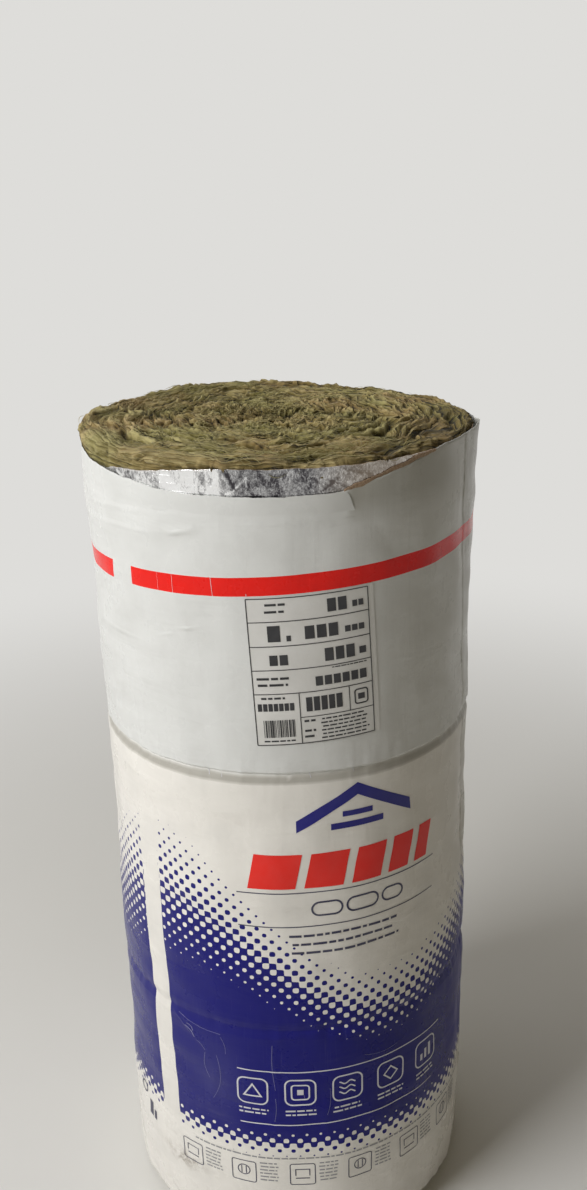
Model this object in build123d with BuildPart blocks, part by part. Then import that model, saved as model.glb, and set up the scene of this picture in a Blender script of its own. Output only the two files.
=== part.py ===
"""Standing pack of three mineral wool insulation rolls in one printed film sleeve.

The rolls stand on end, one on the other. Each is a wool blanket wound on itself with its foil facing
outwards. The film sleeve is closed under the lowest roll, drawn in where two rolls meet, and cut open
above the top roll, where the wound end of the wool shows.

Millimetres, +Z up. The origin is the centre of the face that the pack stands on.
"""
import os
from math import cos, pi, radians, sin

from build123d import *

os.makedirs("parts", exist_ok=True)

# Wool rolls
roll_names = ("bottom", "middle", "top")
roll_width = 350.0        # the blanket's width, so the height of a roll on its end
wool_radius = 229.5
bore_radius = 18.0        # the eye left in the middle of the winding
turn_pitch = 14.0         # a turn of the blanket as it is packed
turn_rise = 5.0           # how far the wool of a turn swells above the groove beside it
crown_rise = 8.0          # how much higher the wound end is at its middle than at its rim

# Foil facing on the outside of each roll
facing_thickness = 0.6

# Film sleeve
film_thickness = 0.8
foot_corner = 25.0        # the lower edge is turned in to this radius
foot_creases = 1          # and it is gathered there in this many creases between its flat bends
waist_depth = 3.0         # how far the sleeve is drawn in where two rolls meet
waist_width = 14.0
layer_gap = 0.3           # between wool, facing and film

# Cut upper edge of the film: azimuth in degrees from the front, and drop below the facing's upper edge
front_left_edge = ((-90, 8), (-49, 20), (-20, 29), (7, 28), (17, 26))
front_right_edge = ((17, 26), (33, 12), (51, -2), (90, -4))
rear_edge = ((90, -4), (130, 3), (180, 12), (225, 4), (270, 8))

# Label stuck on the front of the film
label_width = 135.0       # measured round the film
label_height = 174.0
label_thickness = 0.3
label_corner = 2.0
label_gap = 0.45          # the label bridges the small creases of the film
label_azimuth = 7.2
label_drop = 223.0        # from the upper edge of the facing to the middle of the label
label_turn = 2.5          # degrees that it was stuck on out of level

# Radii of the layers and levels of the stack
facing_radius = wool_radius + layer_gap + facing_thickness
film_radius = facing_radius + layer_gap + film_thickness
label_radius = film_radius + label_gap + label_thickness
roll_feet = [film_thickness + layer_gap + number * roll_width for number in range(len(roll_names))]
rim_height = roll_feet[-1] + roll_width
waist_heights = roll_feet[1:]
clear_height = rim_height + crown_rise + turn_rise + foot_corner


def foot_points(radius):
    """Where the turned-in foot of the layer with this radius bends, from below upwards."""
    bend_radius = foot_corner - (film_radius - radius)
    angles = [pi / 2 * bend / (foot_creases + 1) for bend in range(foot_creases + 2)]
    middle = film_radius - foot_corner
    return [(middle + bend_radius * sin(turn), foot_corner - bend_radius * cos(turn)) for turn in angles]


def pack_outline(radius):
    """Edges of the half section of the whole stack, out to the layer with this radius."""
    points = [(0, film_radius - radius), *foot_points(radius)]
    for waist in waist_heights:
        points.append((radius, waist - waist_width / 2))
        points.append((radius - waist_depth, waist))
        points.append((radius, waist + waist_width / 2))
    points.append((radius, clear_height))
    points.append((0, clear_height))
    with BuildLine() as outline:
        Polyline(*points, close=True)
    return outline.edges()


def turned_layer(radius, thickness, near, foot, head):
    """A turned layer of the pack, by its outer radius and thickness, where it begins and how high it is."""
    with BuildPart() as layer:
        with BuildSketch(Plane.XZ):
            make_face(pack_outline(radius))
            if thickness < radius - near:
                make_face(pack_outline(radius - thickness), mode=Mode.SUBTRACT)
            with Locations(((near + radius) / 2, (foot + head) / 2)):
                Rectangle(radius - near, head - foot, mode=Mode.INTERSECT)
        revolve(axis=Axis.Z)
    return layer.part


# Wool rolls: the lower two are pressed flat at both ends, and the top one shows its turns
turn_count = round((wool_radius - bore_radius) / turn_pitch)
turn_step = (wool_radius - bore_radius) / turn_count


def crown_height(radius):
    """Height of the grooves of the wound end at this radius."""
    return rim_height + crown_rise * (1 - (radius / wool_radius) ** 2)


def wound_end():
    """Edges of the half section of the swollen turns above the facing's upper edge."""
    points = [(bore_radius, rim_height), (bore_radius, crown_height(bore_radius))]
    for turn in range(turn_count):
        middle = bore_radius + (turn + 0.5) * turn_step
        far = bore_radius + (turn + 1) * turn_step
        points.append((middle, crown_height(middle) + turn_rise))
        points.append((far, crown_height(far)))
    with BuildLine() as outline:
        Polyline(*points, close=True)
    return outline.edges()


for name, foot in zip(roll_names, roll_feet):
    with BuildPart() as roll:
        add(turned_layer(wool_radius, wool_radius, bore_radius, foot, foot + roll_width))
        if name == roll_names[-1]:
            with BuildSketch(Plane.XZ):
                make_face(wound_end())
            revolve(axis=Axis.Z)
    roll.part.label = "roll_" + name
    export_step(roll.part, "parts/roll_" + name + ".step")

# Foil facings: each ring stops where its roll's edge is pressed in, and the top one shows its edge
facing_start = facing_radius - facing_thickness
for name, foot in zip(roll_names, roll_feet):
    low = foot_corner if name == roll_names[0] else foot + waist_width / 2
    high = rim_height if name == roll_names[-1] else foot + roll_width - waist_width / 2
    with BuildPart() as facing:
        with BuildSketch(Plane.XY.offset(low)):
            Circle(facing_radius)
            Circle(facing_start, mode=Mode.SUBTRACT)
        extrude(amount=high - low)
    facing.part.label = "facing_" + name
    export_step(facing.part, "parts/facing_" + name + ".step")


def cut_points(edge):
    """Points of a stretch of the cut edge, as it is seen from the front."""
    return [(film_radius * sin(radians(azimuth)), rim_height - drop) for azimuth, drop in edge]


# Film sleeve, turned and then cut open above the top roll
offcut_side = film_radius + waist_depth
left = cut_points(front_left_edge)
right = cut_points(front_right_edge)
rear = cut_points(rear_edge)
with BuildPart() as film_sleeve:
    add(turned_layer(film_radius, film_thickness, 0, 0, clear_height))
    with BuildSketch(Plane.XZ):
        with BuildLine():
            Spline(*left)
            Spline(*right)
            Polyline(
                right[-1],
                (offcut_side, right[-1][1]),
                (offcut_side, clear_height),
                (-offcut_side, clear_height),
                (-offcut_side, left[0][1]),
                left[0],
            )
        make_face()
    extrude(amount=offcut_side, mode=Mode.SUBTRACT)
    with BuildSketch(Plane.XZ):
        with BuildLine():
            Spline(*rear)
            Polyline(
                rear[-1],
                (-offcut_side, rear[-1][1]),
                (-offcut_side, clear_height),
                (offcut_side, clear_height),
                (offcut_side, rear[0][1]),
                rear[0],
            )
        make_face()
    extrude(amount=-offcut_side, mode=Mode.SUBTRACT)
film_sleeve.part.label = "film_sleeve"
export_step(film_sleeve.part, "parts/film_sleeve.step")

# Label, bent round the front of the film
label_chord = 2 * label_radius * sin(label_width / label_radius / 2)
label_height_above_foot = rim_height - label_drop
label_plane = Plane(
    origin=(0, 0, label_height_above_foot),
    x_dir=Vector(1, 0, 0).rotate(Axis.Z, label_azimuth),
    z_dir=Vector(0, -1, 0).rotate(Axis.Z, label_azimuth),
)
with BuildPart() as data_label:
    with BuildSketch(Plane.XY.offset(label_height_above_foot - label_height)):
        Circle(label_radius)
        Circle(label_radius - label_thickness, mode=Mode.SUBTRACT)
    extrude(amount=2 * label_height)
    with BuildSketch(label_plane):
        RectangleRounded(label_chord, label_height, label_corner, rotation=label_turn)
    extrude(amount=2 * label_radius, mode=Mode.INTERSECT)
data_label.part.label = "data_label"
export_step(data_label.part, "parts/data_label.step")
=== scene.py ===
from functools import partial
from math import cos, pi, radians, sin

import bmesh
import bpy
import numpy as np
from mathutils import Matrix, Vector


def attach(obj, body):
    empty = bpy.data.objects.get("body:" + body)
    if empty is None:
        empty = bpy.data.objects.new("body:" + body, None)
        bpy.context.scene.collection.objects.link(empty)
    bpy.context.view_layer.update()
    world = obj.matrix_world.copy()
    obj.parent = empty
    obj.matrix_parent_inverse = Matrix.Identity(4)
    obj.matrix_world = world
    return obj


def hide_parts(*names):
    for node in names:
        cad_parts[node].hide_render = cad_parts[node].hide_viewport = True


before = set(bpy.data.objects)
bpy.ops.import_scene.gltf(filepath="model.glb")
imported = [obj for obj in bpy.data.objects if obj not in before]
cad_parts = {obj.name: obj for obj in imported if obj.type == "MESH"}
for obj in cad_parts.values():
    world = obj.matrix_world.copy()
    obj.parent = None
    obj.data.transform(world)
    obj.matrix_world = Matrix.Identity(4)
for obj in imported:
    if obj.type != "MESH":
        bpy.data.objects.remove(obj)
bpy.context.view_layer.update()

# Sizes that the part's source gives
film_radius = 0.2315
facing_radius = 0.2304
wool_radius = 0.2295
eye_radius = 0.018
turn_step = 0.0141
foot_corner = 0.025
waists = (0.3511, 0.7011)
rim = 1.0511
label_size = (135.0, 174.0)
label_middle = (29.2, 828.1)
label_turn = radians(2.5)

# Sizes of the print and of the layers as they are drawn
panel_width = pi * film_radius    # the print repeats twice round the pack
strip_middle = -0.1955            # the unprinted strip between two panels, at half height
strip_half_width = 0.0165
stripe_half_height = 0.0105       # of the red stripe
dot_period = 0.0175               # so that the raster's dots are 12 mm apart in slanted rows
foil_sheet = 0.0006               # thickness of foil and kraft together
scuff_lift = 0.00030              # how far the marks and the label lie off the film
print_lift = 0.00035
label_lift = 0.00055
label_print_lift = 0.00085
edge_foot = 0.975                 # above this the film's rows follow its cut edge
top_roll_foot = 0.7035
wound_end = 1.0615                # mean height of the wool's wound end


def linear(colour):
    """The linear colour that a shader takes, from an sRGB hex value."""
    channels = [int(colour[place:place + 2], 16) / 255 for place in (1, 3, 5)]
    return (*[c / 12.92 if c <= 0.04045 else ((c + 0.055) / 1.055) ** 2.4 for c in channels], 1.0)


def fill(node, inputs):
    """Fills the inputs that a node uses, by name or in their order, with values or with other nodes."""
    used = [socket for socket in node.inputs if socket.enabled]
    for place, value in inputs.items() if isinstance(inputs, dict) else enumerate(inputs):
        socket = used[place] if isinstance(place, int) else next(s for s in used if s.name == place)
        if isinstance(value, bpy.types.Node):
            value = next(output for output in value.outputs if output.enabled)
        if isinstance(value, bpy.types.NodeSocket):
            node.id_data.links.new(value, socket)
        else:
            socket.default_value = value
    return node


def add(tree, kind, inputs=(), **settings):
    """Adds a node to a tree, with its settings and its inputs."""
    node = tree.nodes.new(kind)
    for name, value in settings.items():
        setattr(node, name, value)
    return fill(node, inputs)


def new_material(name):
    """A new material, what adds a node to it, and its surface shader."""
    material = bpy.data.materials.new(name)
    material.use_nodes = True
    return material, partial(add, material.node_tree), material.node_tree.nodes["Principled BSDF"]


# Shapes of relief

def ramp(value, start, width):
    """0 before the start and 1 past the width after it, or the other way for a negative width."""
    return np.clip((value - start) / width, 0, 1)


def hill(value, middle, width, power=2):
    """1 at the middle, falling to 0 on both sides."""
    return np.exp(-np.abs((value - middle) / width) ** power)


def relief(turn, across, seed, along, length, count=36, sharp=False):
    """Seeded relief of about -1 to 1: waves of the given sizes round the pack and across, or facets."""
    dice = np.random.default_rng(seed)
    total = np.zeros(np.broadcast(turn, across).shape)
    for _ in range(count):
        waves = np.rint(dice.normal() * 2 * pi * film_radius / along)
        wave = np.cos(waves * turn + dice.normal() * 2 * pi / length * across + dice.uniform(0, 2 * pi))
        total += 1 - 2 / pi * np.arccos(wave) if sharp else wave
    return total * (2 / count) ** 0.5


def near_line(turn, height, points, width):
    """1 on a line through points in mm, falling to 0 beside it."""
    arc, level = turn * film_radius * 1000, height * 1000
    nearest = np.full(np.broadcast(turn, height).shape, 1e9)
    for (arc_0, level_0), (arc_1, level_1) in zip(points, points[1:]):
        run, climb = arc_1 - arc_0, level_1 - level_0
        part = ((arc - arc_0) * run + (level - level_0) * climb) / (run * run + climb * climb)
        part = np.clip(part, 0, 1)
        gap = (arc - arc_0 - part * run) ** 2 + (level - level_0 - part * climb) ** 2
        nearest = np.minimum(nearest, gap)
    return np.exp(-nearest / width ** 2)


# Creases of the film: points, height in mm and width in mm
film_creases = (
    (((-262, 1008), (-209, 1000), (-150, 1001), (-90, 1008)), -0.8, 7),
    (((-301, 972), (-255, 968), (-213, 971), (-143, 975), (-98, 984)), 0.8, 6),
    (((-122, 981), (-101, 983)), 0.7, 5),
    (((-288, 842), (-235, 842), (-206, 851)), 0.8, 6),
    (((-118, 890), (-108, 868)), 0.5, 4),
    (((-60, 965), (-20, 950), (40, 955)), -0.4, 9),
    (((90, 1000), (120, 960), (128, 925)), -0.4, 8),
    (((-190, 352), (-167, 343), (-110, 334), (-58, 335), (0, 345), (70, 352)), 0.5, 5),
    (((-152, 331), (-146, 327), (-120, 310), (-107, 277), (-115, 226)), 0.6, 5),
    (((-31, 324), (-26, 260), (-31, 200)), 0.6, 4),
    (((38, 260), (34, 200)), 0.5, 4),
    (((-330, 470), (-296, 428), (-240, 400)), 0.6, 6),
    (((350, 640), (360, 520), (352, 400)), 0.8, 7),
    (((420, 980), (470, 900), (455, 800)), 0.9, 8),
    (((560, 1010), (575, 900), (560, 780)), -0.9, 9),
    (((-560, 1010), (-540, 930), (-575, 860)), 0.9, 8),
    (((-430, 1000), (-440, 880), (-420, 760)), -0.8, 9),
    (((620, 560), (660, 470), (640, 380)), 0.8, 8),
    (((-640, 620), (-600, 520), (-620, 410)), -0.8, 8),
    (((-470, 300), (-430, 210), (-450, 120)), 0.8, 7),
)

# Finer creases, for the film's finish alone: from, to, height in mm and width in mm
handling_creases = (
    ((-300, 987), (-100, 1001), 0.55, 5.5),
    ((-285, 971), (-133, 976), 0.60, 5.0),
    ((-134, 976), (-98, 983), 0.85, 4.4),
    ((-270, 844), (-166, 843), 0.50, 4.5),
    ((-126, 869), (-93, 874), 0.62, 3.4),
    ((-154, 855), (-124, 864), 0.40, 3.4),
    ((-172, 347), (-130, 314), 0.60, 3.4),
)


def under_label(turn, height):
    """1 where the label lies and holds the film smooth."""
    across = np.abs(turn * film_radius * 1000 - label_middle[0]) / (label_size[0] / 2)
    up = np.abs(height * 1000 - label_middle[1]) / (label_size[1] / 2)
    return ramp(across, 1.6, -0.5) * ramp(up, 1.4, -0.4)


def fold_start(height):
    """Where the loose fold on the right begins, in degrees from the front."""
    heights = (0.02, 0.15, 0.41, 0.568, 0.718, 0.904, 1.05)
    start = np.interp(height, heights, (79, 77.5, 76, 73.8, 69, 65, 63.5))
    return start + 0.5 * relief(0, height, 13, 1.0, 0.12)


def film_skin(turn, height):
    """Radius of the film at an angle round the pack and a height."""
    around = np.degrees(turn)
    slack = 1 - under_label(turn, height)
    # How far the film stands out from its radius, in mm
    out = 0.7 * relief(turn, height, 11, 0.45, 0.30) + 0.5 * slack * relief(turn, height, 12, 0.11, 0.08)
    # Both sides are off a true round
    left = np.interp(height, (0, 0.15, 0.41, 0.55, 0.62, 0.71, 0.9, 0.98, 1.06),
                     (1.0, 1.2, 0, -2.2, -2.0, 0, -0.6, 2.6, 2.8))
    right = np.interp(height, (0, 0.05, 0.12, 0.4, 0.6, 0.83, 0.94, 1.02, 1.06),
                      (-4.0, -1.5, -0.5, -0.5, -5.5, -5.0, -2.6, 0, 0))
    out = out + left * hill(around, -84, 30) + right * hill(around, 84, 28)
    # The loose fold of the sleeve on the right stands off most at 82 degrees and turns back sharply
    stand = np.interp(height, (0.02, 0.12, 0.4, 0.83, 1.02), (0.5, 2.0, 3.0, 3.0, 4.5))
    start = fold_start(height)
    out = out + stand * ramp(around, start, 82.2 - start) ** 1.2 * ramp(around, 85.4, -3.0)
    out = out + 0.6 * ramp(around, start, 0.5) * ramp(around, 86, -3.0)
    # Three soft folds run up the back
    for middle, fold_height, spread, seed in ((-128, 2.2, 4, 14), (150, 2.6, 3.5, 15), (-168, 1.8, 3, 16)):
        wander = middle + 3 * relief(0, height, seed, 1.0, 0.6)
        fade = 0.6 + 0.4 * relief(0, height, seed + 10, 1.0, 0.4)
        out = out + fold_height * fade * hill(around, wander, spread)
    # The sleeve's weld, 13 mm wide, runs up the middle of the back
    out = out + 0.6 / (1 + np.exp(np.minimum((178.4 - np.abs(around)) / 0.15, 50)))
    # Drawn in where two rolls meet, with a crisp lower edge and small gathers
    gathers = 0.36 * relief(turn, height, 17, 0.022, 0.9)
    uneven = 1 + 0.12 * relief(turn, height, 18, 0.3, 2.0)
    for waist, depth, below, above in ((waists[1], 3.4, 0.0125, 0.0035), (waists[0], 2.2, 0.012, 0.010)):
        step = height - waist
        shape = np.clip(np.where(step < 0, 1 + step / below, 1 - step / above), 0, 1)
        out = out - depth * shape * uneven + gathers * hill(step, 0, 0.017, 1.5)
    for points, ridge, width in film_creases:
        out = out + ridge * slack * near_line(turn, height, points, width)
    return film_radius + 0.001 * out


# Drop of the film's cut edge below the rim, in mm, by the angle round the pack
cut_angles = (-90, -70, -49, -35, -20, -7, 7, 17, 25, 33, 42, 51, 70, 90, 130, 180, 225, 270)
cut_drops = (8, 12, 20, 26, 29, 29.5, 28, 26, 20, 12, 4, -2, -4, -4, 3, 12, 4, 8)


def film_edge(turn):
    """Height of the film's cut edge."""
    around = np.degrees(turn)
    drop = np.interp(np.where(around < -90, around + 360, around), cut_angles, cut_drops)
    ragged = 0.5 * relief(turn, 0, 21, 0.08, 1.0) + 0.25 * relief(turn, 0, 22, 0.015, 1.0)
    return rim - 0.001 * (drop + ragged)


def unprinted_strip(turn, height):
    """Distance round the pack from the middle of the nearest unprinted strip, which leans a little."""
    offset = turn * film_radius - strip_middle - (0.49 - height) * 0.0258
    return np.abs((offset + panel_width / 2) % panel_width - panel_width / 2)


def blue_share(turn, height):
    """Share of the film that the blue ink covers, as a wave that fades upwards."""
    place = 2 * pi * (turn * film_radius + 0.205) / panel_width
    crest = 0.430 + 0.066 * np.cos(place) + 0.014 * np.sin(2 * place)
    fade = 0.100 + 0.09 * (0.5 + 0.5 * np.cos(place)) ** 2
    upper = np.clip(0.62 - (height - crest) / fade, 0, 1)
    return np.minimum(upper, ramp(height, 0.157 + 0.003 * np.cos(place), 0.040))


# Meshes

def shown(name, mesh, materials, slot, *nodes):
    """Makes a mesh a piece of the pack, in place of the given nodes."""
    piece = bpy.data.objects.new(name, mesh)
    bpy.context.scene.collection.objects.link(piece)
    for material in materials:
        mesh.materials.append(material)
    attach(piece, "root")
    if nodes:
        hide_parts(*nodes)
    return piece


def on_circle(turn, radius, height):
    turn, radius, height = np.broadcast_arrays(turn, radius, height)
    return np.stack([radius * np.sin(turn), -radius * np.cos(turn), height], -1)


def stacked(rows, turns):
    """Rows of radius and height as two arrays, with a value for each angle."""
    return [np.array([np.broadcast_to(row[part], turns.shape) for row in rows]) for part in (0, 1)]


def band(name, points, marks={}, turns=None, lay=None, unroll=film_radius, sealed=False, closed=True):
    """Quads between rows of points round the pack. marks are values for each point.

    With turns and a lay it gets a UV map of metres: the angle times unroll, and the lay. A sealed band's
    rows that meet are joined.
    """
    rows, columns = points.shape[:2]
    last = columns if closed else columns - 1
    row, column = np.meshgrid(np.arange(rows - 1), np.arange(last), indexing="ij")
    after = (column + 1) % columns
    corners = ((row, column), (row, after), (row + 1, after), (row + 1, column))
    faces = np.stack([line * columns + spot for line, spot in corners], -1)
    mesh = bpy.data.meshes.new(name)
    mesh.from_pydata(points.reshape(-1, 3).tolist(), [], faces.reshape(-1, 4).tolist())
    if lay is not None:
        arc = np.broadcast_to(np.append(turns, turns[0] + 2 * pi) * unroll, (rows, columns + 1))
        uv = np.stack([arc, np.concatenate([lay, lay[:, :1]], 1)], -1)
        places = np.stack([uv[line, spot] for line, spot in (
            (row, column), (row, column + 1), (row + 1, column + 1), (row + 1, column))], 2)
        mesh.uv_layers.new(name="film_metres").data.foreach_set("uv", places.astype(np.float32).ravel())
    for mark, values in marks.items():
        values = np.broadcast_to(values, (rows, columns)).astype(np.float32).ravel()
        mesh.attributes.new(mark, "FLOAT", "POINT").data.foreach_set("value", values)
    mesh.shade_smooth()
    if sealed:
        joined = bmesh.new()
        joined.from_mesh(mesh)
        bmesh.ops.remove_doubles(joined, verts=joined.verts, dist=1e-6)
        joined.to_mesh(mesh)
        joined.free()
    return mesh


# Materials

def film_material():
    """Blown polyethylene film, printed in blue and red: half gloss, white, a little hazy and scuffed."""
    material, node, surface = new_material("printed_polyethylene_film")
    uv = node("ShaderNodeUVMap", uv_map="film_metres")
    place = node("ShaderNodeTexCoord").outputs["Object"]
    axes = node("ShaderNodeSeparateXYZ", (uv,)).outputs
    blue, strip, stripe, tone, veil, groove, soil, shade = [
        node("ShaderNodeAttribute", attribute_name=name).outputs["Fac"]
        for name in ("blue", "strip", "stripe", "tone", "veil", "groove", "soil", "shade")]
    # Round dots of the blue raster, which grow together where the ink covers more
    waves = []
    for axis in (0, 1):
        turns = node("ShaderNodeMath", (axes[axis], 2 * pi / dot_period), operation="MULTIPLY")
        waves.append(node("ShaderNodeMath", (turns,), operation="COSINE"))
    raster = node("ShaderNodeMath", waves, operation="MULTIPLY")
    level = node("ShaderNodeMapRange", (raster, -1, 1, 1, 0.001))
    dots = node("ShaderNodeMath", (level, blue), operation="LESS_THAN")
    printed = node("ShaderNodeMath", (strip, strip_half_width), operation="GREATER_THAN")
    dots = node("ShaderNodeMath", (dots, printed), operation="MULTIPLY")
    # The red stripe stops 2 mm further from the strip
    red = node("ShaderNodeMath", (stripe, 0.0, stripe_half_height), operation="COMPARE")
    apart = node("ShaderNodeMath", (strip, strip_half_width + 0.002), operation="GREATER_THAN")
    red = node("ShaderNodeMath", (red, apart), operation="MULTIPLY")
    # Haze in patches of 60 mm down to 4 mm, and dirt in grains of 14 mm down to 0.5 mm
    haze = node("ShaderNodeTexNoise", {"Vector": place, "Scale": 16.0, "Detail": 4.0, "Roughness": 0.62})
    cloud = node("ShaderNodeMapRange", (haze, 0.35, 0.7, -0.10, 0.20))
    grit = node("ShaderNodeTexNoise", {"Vector": place, "Scale": 70.0, "Detail": 5.0, "Roughness": 0.7})
    dirt = node("ShaderNodeMapRange", (grit, 0.42, 0.72))
    dirt = node("ShaderNodeMath", (dirt, soil), operation="MULTIPLY", use_clamp=True)
    # Fine upright scuffs, 2.4 mm apart as drawn so that they show, and soft wrinkles of the slack film:
    # long level ones 35 mm apart, and upright ones 15 mm apart
    stretched = []
    for scale, detail, twist in (
            ((420.0, 14.0, 1.0), 2.0, 0.0), ((6.0, 28.0, 1.0), 3.0, 0.8), ((66.0, 8.0, 1.0), 3.0, 0.5)):
        lay = node("ShaderNodeMapping", {"Vector": uv, "Scale": scale})
        stretched.append(node("ShaderNodeTexNoise", {
            "Vector": lay, "Scale": 1.0, "Detail": detail, "Distortion": twist}))
    scuff, level_folds, upright_folds = stretched
    scuffs = node("ShaderNodeMapRange", (scuff, 0.62, 0.8, 0, 0.5))
    milky = node("ShaderNodeMath", (haze, 0.014, veil), operation="MULTIPLY_ADD")
    milky = node("ShaderNodeMath", (scuffs, 0.09, milky), operation="MULTIPLY_ADD", use_clamp=True)
    # White film, creamier below the groove, under its shade, haze, inks, milky veil with painted sheen, thin
    # groove of painted shade, and dirt
    skin = linear("#D5D6D3")
    for share, colour in ((tone, "#E4E1DA"), (shade, "#8E8A79"), (cloud, "#B9B8B3"), (dots, "#08076C"),
                          (red, "#E6190D"), (milky, "#9E9EB0"), (groove, "#A5A299"), (dirt, "#6B583F")):
        skin = node("ShaderNodeMix", (share, skin, linear(colour)), data_type="RGBA")
    wrinkles = node("ShaderNodeMath", (upright_folds, 0.3, level_folds), operation="MULTIPLY_ADD")
    bump = node("ShaderNodeBump", {"Strength": 0.42, "Distance": 0.0034, "Height": wrinkles})
    # Single creases that handling left, which fade out at both ends
    creased = 0.0
    for start, end, rise, width in handling_creases:
        start, run = Vector(start) / 1000, (Vector(end) - Vector(start)) / 1000
        gap = node("ShaderNodeVectorMath", (uv, (*start, 0)), operation="SUBTRACT")
        share = node("ShaderNodeVectorMath", (gap, (*(run / run.length_squared), 0)), operation="DOT_PRODUCT")
        share = node("ShaderNodeClamp", (share,))
        foot = node("ShaderNodeVectorMath", ((*run, 0), share), operation="SCALE")
        away = node("ShaderNodeVectorMath", (gap, foot), operation="DISTANCE")
        fade = node("ShaderNodeMath", (share, 0.5), operation="PINGPONG")
        fade = node("ShaderNodeMath", (fade, 0.002 * rise), operation="MULTIPLY")
        ridge = node("ShaderNodeMapRange", (away, width / 1000, 0, 0, fade), interpolation_type="SMOOTHSTEP")
        creased = node("ShaderNodeMath", (creased, ridge), operation="ADD")
    bump = node("ShaderNodeBump", {"Strength": 1.0, "Distance": 1.0, "Height": creased, "Normal": bump})
    gloss = node("ShaderNodeMapRange", (haze, 0.3, 0.7, 0.20, 0.38))
    fill(surface, {"Base Color": skin, "Roughness": gloss, "Normal": bump, "IOR": 1.51,
                   "Specular IOR Level": 0.22})
    return material


def ink_material(name, colour, veil):
    """Ink on the film: it takes the film's gloss, and the haze of the film pales it in patches."""
    material, node, surface = new_material(name)
    place = node("ShaderNodeTexCoord").outputs["Object"]
    haze = node("ShaderNodeTexNoise", {"Vector": place, "Scale": 60.0, "Detail": 3.0})
    patch = node("ShaderNodeMapRange", (haze, 0.35, 0.75, veil * 0.4, veil * 1.6))
    hue = node("ShaderNodeMix", (patch, linear(colour), linear("#A9A9AC")), data_type="RGBA")
    gloss = node("ShaderNodeMapRange", (haze, 0.3, 0.7, 0.32, 0.46))
    fill(surface, {"Base Color": hue, "Roughness": gloss, "IOR": 1.5, "Specular IOR Level": 0.34})
    return material


def wool_material():
    """Spun glass wool bound with a brown binder: matt, olive where it is dense, straw on the loose tufts."""
    material, node, surface = new_material("mineral_wool")
    loft_and_shade = node("ShaderNodeAttribute", attribute_name="loft_and_shade").outputs["Fac"]
    lay = node("ShaderNodeUVMap", uv_map="film_metres")
    place = node("ShaderNodeTexCoord").outputs["Object"]
    along, across, _ = node("ShaderNodeSeparateXYZ", (lay,)).outputs
    # Noise stretched along the turns: the wandering of the folds, which of them shows, and fibre bundles
    # about 1 mm wide and 15 mm long, drawn coarser than real ones so that they show
    stretched = []
    for scale, detail, rough, twist in (
            ((10.0, 30.0, 1.0), 3.0, 0.5, 0.0), ((24.0, 75.0, 1.0), 2.0, 0.5, 0.0),
            ((75.0, 700.0, 1.0), 5.0, 0.66, 0.6)):
        stretch = node("ShaderNodeMapping", {"Vector": lay, "Scale": scale})
        stretched.append(node("ShaderNodeTexNoise", {
            "Vector": stretch, "Scale": 1.0, "Detail": detail, "Roughness": rough, "Distortion": twist}))
    wander, which, fibre = stretched
    # Matted folds 6 and 10 mm apart, which lean outwards over a crevice; in the colour the lips are painted
    # lighter and the crevices painted dark, as shade
    ways = node("ShaderNodeSeparateColor", (wander.outputs["Color"],)).outputs
    folds = []
    for way, pitch, sway in ((ways[0], 0.0062, 0.020), (ways[1], 0.0098, 0.026)):
        moved = node("ShaderNodeMath", (way, sway, across), operation="MULTIPLY_ADD")
        count = node("ShaderNodeMath", (moved, pitch), operation="DIVIDE")
        folds.append(node("ShaderNodeMath", (count,), operation="FRACT"))
    share = node("ShaderNodeMapRange", (which, 0.44, 0.58))
    fold = node("ShaderNodeMix", (share, *folds), data_type="FLOAT")
    lip = node("ShaderNodeMapRange", (fold, 1.0, 0.84), interpolation_type="SMOOTHSTEP")
    lip = node("ShaderNodeMath", (lip, fold), operation="MULTIPLY")
    crevice = node("ShaderNodeMapRange", (fold, 0.20, 0.0), interpolation_type="SMOOTHSTEP")
    # The rim is felted: its crevices are shallow and painted less dark, and its front, over the foil, is
    # browner
    rim_share = node("ShaderNodeMapRange", (across, -0.846, -0.834))
    deep = node("ShaderNodeMapRange", (rim_share, 0, 1, -0.46, -0.16))
    front = node("ShaderNodeMapRange", (along, -0.17, -0.11, 0, 0.65))
    tan = node("ShaderNodeMath", (front, rim_share), operation="MULTIPLY")
    patch = node("ShaderNodeTexNoise", {"Vector": place, "Scale": 14.0, "Detail": 3.0})
    brown = node("ShaderNodeMapRange", (patch, 0.38, 0.66))
    brown = node("ShaderNodeMath", (brown, tan), operation="MAXIMUM")
    # The attribute brings the wound end's painted light and shade
    mixed = loft_and_shade
    for part, weight in ((fibre, 0.78), (lip, 0.55), (crevice, deep)):
        mixed = node("ShaderNodeMath", (part, weight, mixed), operation="MULTIPLY_ADD")
    depth = node("ShaderNodeMapRange", (mixed, 0.42, 1.50))
    # From the painted shade of a crevice by the dense felt to the straw of the tufts
    hue = linear("#1C1808")
    for start, green, tanned in ((0.0, "#6A6334", "#7C683E"), (0.5, "#AAA16E", "#B09C70")):
        step = node("ShaderNodeMapRange", (depth, start, start + 0.5))
        felt = node("ShaderNodeMix", (brown, linear(green), linear(tanned)), data_type="RGBA")
        hue = node("ShaderNodeMix", (step, hue, felt), data_type="RGBA")
    heights = node("ShaderNodeMath", (fibre, 0.8, lip), operation="MULTIPLY_ADD")
    bump = node("ShaderNodeBump", {"Strength": 0.85, "Distance": 0.0026, "Height": heights})
    fill(surface, {"Base Color": hue, "Normal": bump, "Roughness": 0.92, "Specular IOR Level": 0.2,
                   "Sheen Weight": 0.08})
    return material


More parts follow.
